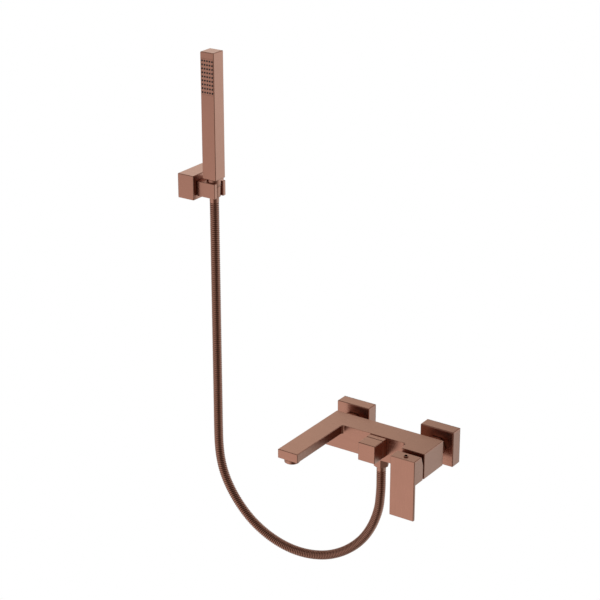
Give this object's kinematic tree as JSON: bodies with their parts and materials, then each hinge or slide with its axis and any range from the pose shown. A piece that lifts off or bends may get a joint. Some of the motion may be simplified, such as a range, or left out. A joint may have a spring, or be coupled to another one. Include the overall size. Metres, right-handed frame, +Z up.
{
  "type": "wall mounted bath mixer tap",
  "caption": "Square wall mounted bath and shower mixer in brushed rose copper, with flat spout, lever, diverter knob, metal hose, stick hand shower and wall holder.",
  "frame": {"origin": "midway between the two water inlets, on the wall surface", "axes": "+X along the wall to the right as seen from the room, +Y into the wall, +Z up"},
  "size_m": [0.4669, 0.214, 0.8111],
  "materials": {
    "copper_satin": "satin brushed rose copper plating over brass",
    "copper_hose": "interlocked metal hose with rose copper plating",
    "brass_raw": "machined, unplated",
    "fibre_washer": "pressed fibre",
    "white_plastic": "moulded",
    "dark_plastic": "moulded",
    "black_rubber": "moulded silicone",
    "white_ceramic": "polished alumina ceramic",
    "steel": "turned stainless steel"
  },
  "bodies": {
    "mixer": {"left_wall_connector": "brass_raw", "right_wall_connector": "brass_raw", "left_flange": "copper_satin", "right_flange": "copper_satin", "left_union_nut": "copper_satin", "right_union_nut": "copper_satin", "left_union_washer": "fibre_washer", "right_union_washer": "fibre_washer", "left_inlet_nipple": "brass_raw", "right_inlet_nipple": "brass_raw", "left_check_valve": "white_plastic", "right_check_valve": "white_plastic", "mixer_body": "copper_satin", "aerator_housing": "copper_satin", "aerator_insert": "white_plastic", "aerator_washer": "black_rubber", "cartridge_base_seal": "black_rubber", "cartridge_base": "white_plastic", "cartridge_sleeve": "white_plastic", "fixed_ceramic_disc": "white_ceramic", "cartridge_nut": "brass_raw", "dome_ring": "copper_satin", "diverter_collar": "copper_satin", "diverter_valve_body": "brass_raw", "outlet_nipple": "copper_satin", "hose_nut": "copper_satin", "lower_hose_washer": "black_rubber", "lower_ferrule": "copper_satin", "shower_hose": "copper_hose", "wall_plate": "steel", "bracket_body": "copper_satin", "bracket_grub_screw": "steel", "friction_washer": "white_plastic"},
    "rotor": {"cartridge_rotor": "dark_plastic", "lever_pin": "steel"},
    "disc": {"disc_carrier": "dark_plastic", "moving_ceramic_disc": "white_ceramic"},
    "handle": {"handle": "copper_satin", "cartridge_lever": "steel", "handle_screw": "copper_satin"},
    "diverter": {"diverter_knob": "copper_satin", "diverter_drum": "brass_raw", "diverter_o_rings": "black_rubber", "knob_grub_screw": "steel"},
    "holder": {"holder_fork": "copper_satin", "pivot_screw": "steel", "pivot_spring_washer": "steel"},
    "hose_tail": {"upper_ferrule": "copper_satin"},
    "handset": {"cone_nut": "copper_satin", "upper_hose_washer": "black_rubber", "handset_nipple": "brass_raw", "handset_body": "copper_satin", "spray_face": "copper_satin", "nozzle_mat": "black_rubber", "spray_chamber": "white_plastic", "water_tube": "white_plastic"}
  },
  "joints": [
    {"name": "handle_turn", "type": "hinge", "parent": "mixer", "child": "rotor", "pos_m": [0.075, -0.09, 0], "axis": [0, 1, 0], "range_deg": [-45, 45]},
    {"name": "handle_lift", "type": "hinge", "parent": "rotor", "child": "handle", "pos_m": [0.075, -0.09, 0], "axis": [-1, 0, 0], "range_deg": [0, 21]},
    {"name": "disc_slide", "type": "slide", "parent": "rotor", "child": "disc", "axis": [0, 0, -1], "range_m": [0, 0.0031]},
    {"name": "diverter_turn", "type": "hinge", "parent": "mixer", "child": "diverter", "pos_m": [0.0058, -0.087, 0.0048], "axis": [0, 1, 0], "range_deg": [0, 90]},
    {"name": "holder_tilt", "type": "hinge", "parent": "mixer", "child": "holder", "pos_m": [-0.3326, -0.057, 0.34825], "axis": [1, 0, 0], "range_deg": [-10, 40], "deforming": ["shower_hose"]},
    {"name": "handset_lift", "type": "slide", "parent": "holder", "child": "hose_tail", "axis": [0, 0, 1], "range_m": [0, 0.05], "deforming": ["shower_hose"]},
    {"name": "handset_spin", "type": "hinge", "parent": "hose_tail", "child": "handset", "pos_m": [-0.3096, -0.057, 0.36], "axis": [0, 0, 1], "continuous": true}
  ],
  "couplings": [
    {"joint": "disc_slide", "follows": "handle_lift", "m_per_rad": 0.0082}
  ]
}
